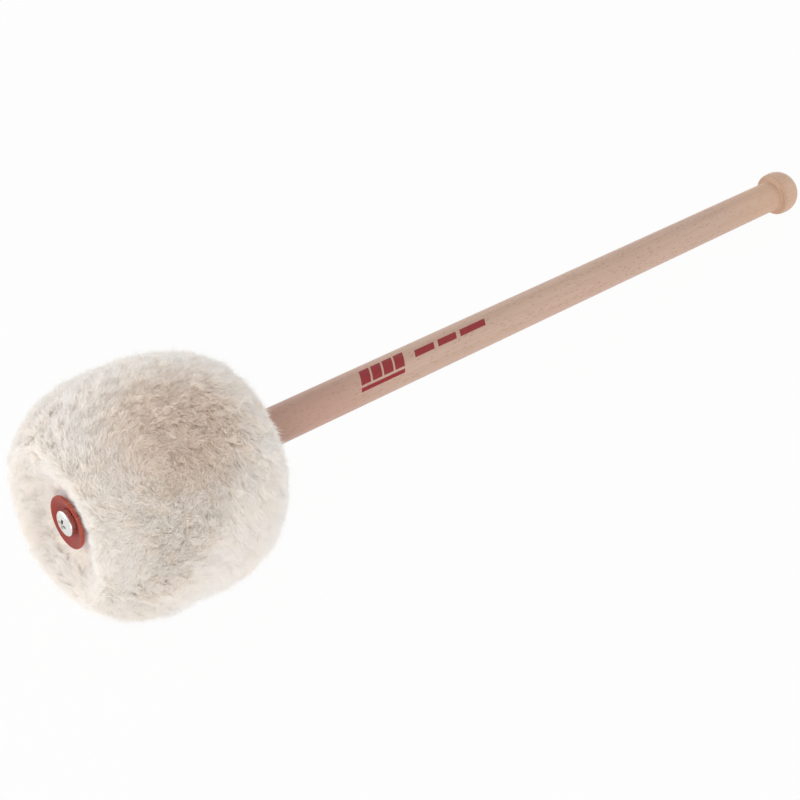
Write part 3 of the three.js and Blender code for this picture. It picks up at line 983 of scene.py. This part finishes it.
def drawn_cells(mesh, total, unit_hair, ring, heights):
    """A map on which each hair has a cell of its own, from root to tip."""
    across = math.ceil(math.sqrt(total))
    third = np.arctan2(unit_hair[:, 1], unit_hair[:, 0]) / (FULL_TURN / 3)
    side = np.round(third - third[0]) % 3 / 2
    tip = np.linalg.norm(unit_hair[:, :2], axis=1) < 0.01
    side[tip] = 0.5
    foot_drop = np.where((ring == 0) & (side == 0.5), -0.12, 0)
    margin = 0.2
    inside = np.stack([side, heights[ring] + foot_drop], 1) * (1 - 2 * margin) + margin
    which = np.arange(total)
    cell = np.stack([which % across, which // across], 1)
    uv = (cell[:, None] + inside[None]) / across
    layer = mesh.uv_layers.new(name="OFBake")
    loops = numbers_of(mesh.loops, "vertex_index", np.int32, 1)[:, 0]
    layer.uv.foreach_set("vector", uv.reshape(-1, 2)[loops].astype(np.float32).ravel())


def fill(mesh, name, values):
    """A value on each vertex of a mesh, for the nodes to read."""
    layer = mesh.attributes.new(name, "FLOAT", "POINT")
    layer.data.foreach_set("value", values.astype(np.float32).ravel())


# Operators


# Name, place, width in metres and power in watts of each lamp
LAMPS = (
    ("low_lamp", (-0.95, -1.15, 0.2), 0.8, 8.6),
    ("left_lamp", (-1.1, 0.85, 0.3), 1.0, 5.6),
    ("right_lamp", (1.3, -0.4, 0.6), 1.0, 3.0),
    ("rear_lamp", (0.1, 1.4, 0.7), 1.1, 2.0),
)
LAMP_TARGET = Vector((-0.05, 0, 0.03))
FLOOR_REACH = 6


def aimed(name, data, place, direction):
    """A camera or a lamp that looks along a direction."""
    thing = added(name, data)
    thing.location = place
    thing.rotation_mode = "QUATERNION"
    thing.rotation_quaternion = direction.to_track_quat("-Z", "Y")
    return thing


class MALLET_OT_stage(bpy.types.Operator):
    """Make the camera, the lamps, the world and the table"""

    bl_idname = "mallet.stage"
    bl_label = "Stage"

    def execute(self, context):
        scene = context.scene
        settings = scene.mallet_stage
        scene.view_settings.view_transform = "Standard"
        for kind in ("max_bounces", "diffuse_bounces", "transmission_bounces"):
            setattr(scene.cycles, kind, settings.wool_bounces)
        scene.camera = self.make_camera(settings)
        scene.world = self.make_world(settings)
        self.make_floor(settings)
        for name, place, size, power in LAMPS:
            self.make_lamp(name, Vector(place), size, power)
        return {"FINISHED"}

    def make_camera(self, settings):
        data = bpy.data.cameras.new("camera")
        data.lens = settings.lens
        data.sensor_width = 36
        data.clip_start = 0.01
        data.clip_end = 20
        azimuth = settings.camera_azimuth
        elevation = settings.camera_elevation
        back = Vector((
            math.sin(azimuth) * math.cos(elevation),
            -math.cos(azimuth) * math.cos(elevation),
            math.sin(elevation),
        ))
        return aimed("camera", data, settings.camera_place, -back)

    def make_world(self, settings):
        world = bpy.data.worlds.new("studio")
        tree = Tree(world)
        tree.feed("Background", {"Color": WHITE, "Strength": 1})
        up = tree.node("TexCoord", output="Generated").parts()[2]
        ends = {"Value": up, "To Min": settings.horizon_light, "To Max": settings.zenith_light}
        level = tree.node("MapRange", None, ends)
        lit = tree.node("Background", None, {"Color": WHITE, "Strength": level})
        tree.mixed("World Output", tree.seen_directly(), lit, tree.first("Background"))
        return world

    def make_floor(self, settings):
        pale = {"Base Color": as_colour(settings.floor), "Roughness": 0.9, "Specular IOR Level": 0.1}
        finish = Finish("table_white", pale)
        white = finish.node("Emission", None, {"Color": WHITE})
        shown = finish.seen_directly() * settings.floor_glow
        finish.mixed("Material Output", shown, finish.first("Principled BSDF"), white)
        bm = bmesh.new()
        bmesh.ops.create_grid(bm, x_segments=1, y_segments=1, size=FLOOR_REACH)
        mesh = mesh_of("table", bm)
        mesh.materials.append(finish.material)
        floor = added("table", mesh)

    def make_lamp(self, name, place, size, power):
        data = bpy.data.lights.new(name, "AREA")
        data.shape = "DISK"
        data.size = size
        data.energy = power
        aimed(name, data, place, LAMP_TARGET - place)


class MALLET_OT_handle(bpy.types.Operator):
    """Turn the beech handle with its knob and its printed marks"""

    bl_idname = "mallet.handle"
    bl_label = "Handle"

    def execute(self, context):
        settings = context.scene.mallet_handle
        piece = new_piece("turned_handle", spun(handle_outline(settings), steps=96), beech(settings))
        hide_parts("handle")
        return {"FINISHED"}


class MALLET_OT_washer(bpy.types.Operator):
    """Turn the red fibre washer"""

    bl_idname = "mallet.washer"
    bl_label = "Washer"

    def execute(self, context):
        settings = context.scene.mallet_fitting
        radii = np.linspace(settings.washer_hole / 2, WASHER_RADIUS, 12)
        rise = settings.washer_dish * ease((radii - SCREW_RADIUS) / (WASHER_RADIUS - SCREW_RADIUS))
        face = np.stack([WASHER_FACE - rise, radii], 1)
        back = np.stack([WASHER_BACK - rise, radii], 1)[::-1]
        bm = spun(np.concatenate([face, back, face[:1]]), steps=96)
        rims = [edge for edge in bm.edges if self.is_outer_rim(edge)]
        bmesh.ops.bevel(
            bm, geom=rims, offset=settings.washer_round, segments=4, profile=0.5, affect="EDGES", material=-1
        )
        piece = new_piece("fibre_washer", bm, vulcanised_fibre(settings))
        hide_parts("front_washer")
        return {"FINISHED"}

    def is_outer_rim(self, edge):
        """An edge that runs round the rim, on the face or on the back."""
        ends = [vert.co for vert in edge.verts]
        slack = 0.01 * MM
        level = abs(ends[0].x - ends[1].x) < slack
        return level and all(math.hypot(end.y, end.z) > WASHER_RADIUS * 0.99 for end in ends)


class MALLET_OT_screw(bpy.types.Operator):
    """Turn the pan-head screw and cut its cross recess"""

    bl_idname = "mallet.screw"
    bl_label = "Screw"

    def execute(self, context):
        settings = context.scene.mallet_fitting
        bm = spun(self.outline(settings), steps=64)
        piece = new_piece("pan_screw", bm, nickel_plate(settings))
        cutters = [self.cutter(settings, turn) for turn in (0, math.pi / 2)]
        for cutter in cutters:
            cut = piece.modifiers.new("recess", "BOOLEAN")
            cut.operation = "DIFFERENCE"
            cut.solver = "EXACT"
            cut.object = cutter
        edges = piece.modifiers.new("edges", "BEVEL")
        edges.width = 0.12 * MM
        edges.segments = 2
        edges.limit_method = "ANGLE"
        edges.angle_limit = math.radians(40)
        mesh = finished_mesh(piece)
        piece.modifiers.clear()
        piece.data = mesh
        mesh.set_sharp_from_angle(angle=SHARP_ANGLE)
        for cutter in cutters:
            bpy.data.objects.remove(cutter)
        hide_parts("retaining_screw")
        return {"FINISHED"}

    def outline(self, settings):
        """Dome, side, underside, shank and point."""
        seat = WASHER_FACE - settings.screw_seat
        foot = seat - settings.screw_land
        shank = settings.shank_diameter / 2
        tip = 0.4 * MM
        rise = SCREW_FACE - foot
        dome = [(foot + rise * cosine, SCREW_RADIUS * sine) for cosine, sine in arc(steps=12)]
        return [
            *dome,
            (seat, SCREW_RADIUS),
            (seat, shank),
            (SCREW_TIP - settings.point_length, shank),
            (SCREW_TIP, tip),
            (SCREW_TIP, 0),
        ]

    def cutter(self, settings, turn):
        """One arm of the cross, which stands proud of the dome."""
        overrun = 2 * MM
        depth = settings.recess_depth + overrun
        middle = SCREW_FACE + settings.recess_depth - depth / 2
        bm = bmesh.new()
        bmesh.ops.create_cube(bm, size=1)
        bmesh.ops.scale(bm, vec=(depth, settings.recess_width, settings.recess_span), verts=bm.verts)
        bmesh.ops.translate(bm, vec=(middle, 0, 0), verts=bm.verts)
        bmesh.ops.rotate(bm, matrix=Matrix.Rotation(turn, 3, "X"), verts=bm.verts)
        bmesh.ops.transform(bm, matrix=POSE, verts=bm.verts)
        return added("cutter", mesh_of("cutter", bm))


class MALLET_OT_backing(bpy.types.Operator):
    """Shape the backing of the fleece, gathered at both ends"""

    bl_idname = "mallet.backing"
    bl_label = "Fleece backing"

    def execute(self, context):
        settings = context.scene.mallet_fleece
        mesh = mesh_of("fleece_backing", backing_skin(settings))
        mesh.shade_smooth()
        piece = show("fleece_backing", mesh, backing(settings))
        wall = piece.modifiers.new("wall", "SOLIDIFY")
        wall.thickness = settings.backing
        wall.offset = -1
        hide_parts("fleece_cover")
        return {"FINISHED"}


class MALLET_OT_pile(bpy.types.Operator):
    """Grow the pile out of the backing, in locks that lean and curl"""

    bl_idname = "mallet.pile"
    bl_label = "Fleece pile"

    def execute(self, context):
        settings = context.scene.mallet_fleece
        skin = bpy.data.objects.get("fleece_backing")
        if skin is None:
            raise RuntimeError("make the backing before the pile")
        draw = np.random.default_rng(settings.seed)
        noise.seed_set(settings.seed)
        locks = Locks(*scatter(skin.data, settings, draw, settings.lock_count), settings, draw)
        material = fleece(settings)
        under = (settings.under_count, 1, np.array([0, 1]))
        top = (settings.top_count, settings.top_growth, np.array([0, 0.6, 1]))
        kinds = [under] * settings.under_pieces + [top] * settings.top_pieces
        for index, (total, growth, heights) in enumerate(kinds, 1):
            template = hair_template(heights[1:-1])
            roots, normals = scatter(skin.data, settings, draw, total)
            path, which, loose = hair_paths(roots, normals, locks, settings, draw, heights, growth)
            radius = settings.hair_radius * np.where(loose, 0.5, draw.uniform(0.75, 1.25, total))
            mesh = copied(template, total)
            unit_hair, ring = laid_hair(mesh, path, radius, heights)
            fill(mesh, "from_root", np.tile(heights[ring], total))
            tone = locks.tone[which] * 0.7 + draw.random(total) * 0.3
            fill(mesh, "lock_tone", np.repeat(tone, len(unit_hair)))
            drawn_cells(mesh, total, unit_hair, ring, heights)
            piece = show(f"fleece_pile_{index}", mesh, material)
        return {"FINISHED"}


class MALLET_OT_filling(bpy.types.Operator):
    """Give the core, the felt and the threads inside the head their finishes"""

    bl_idname = "mallet.filling"
    bl_label = "Filling"

    def execute(self, context):
        settings = context.scene.mallet_filling
        firm = felt("firm_felt", settings.firm_felt, depth=0.25 * MM)
        soft = felt("soft_felt", settings.soft_felt, depth=0.4 * MM)
        thread = waxed_thread(settings.thread)
        finishes = {
            "head_core": plain_wood(settings.core_wood),
            "felt_strip": firm,
            "felt_jacket": soft,
            "rear_felt_disc": soft,
            "front_felt_disc": soft,
            "rear_gather_thread": thread,
            "front_gather_thread": thread,
        }
        for node, material in finishes.items():
            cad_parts[node].material_slots[0].material = material
        return {"FINISHED"}


class MALLET_PT_panel(bpy.types.Panel):
    """Lists what the mallet is made of"""

    bl_idname = "MALLET_PT_panel"
    bl_label = "Bass drum mallet"
    bl_space_type = "VIEW_3D"
    bl_region_type = "UI"
    bl_category = "Mallet"

    def draw(self, context):
        for operator in OPERATORS:
            self.layout.operator(operator.bl_idname)


SETTINGS = {
    "mallet_stage": MalletStageSettings,
    "mallet_handle": MalletHandleSettings,
    "mallet_fleece": MalletFleeceSettings,
    "mallet_fitting": MalletFittingSettings,
    "mallet_filling": MalletFillingSettings,
}
OPERATORS = (
    MALLET_OT_stage,
    MALLET_OT_handle,
    MALLET_OT_washer,
    MALLET_OT_screw,
    MALLET_OT_backing,
    MALLET_OT_pile,
    MALLET_OT_filling,
)


def register():
    for kind in (*SETTINGS.values(), *OPERATORS, MALLET_PT_panel):
        bpy.utils.register_class(kind)
    for name, kind in SETTINGS.items():
        setattr(bpy.types.Scene, name, bpy.props.PointerProperty(type=kind))


def unregister():
    for name in SETTINGS:
        delattr(bpy.types.Scene, name)
    for kind in (MALLET_PT_panel, *reversed(OPERATORS), *SETTINGS.values()):
        bpy.utils.unregister_class(kind)


def main():
    register()
    for operator in OPERATORS:
        group, name = operator.bl_idname.split(".")
        getattr(getattr(bpy.ops, group), name)()


if __name__ == "__main__":
    main()
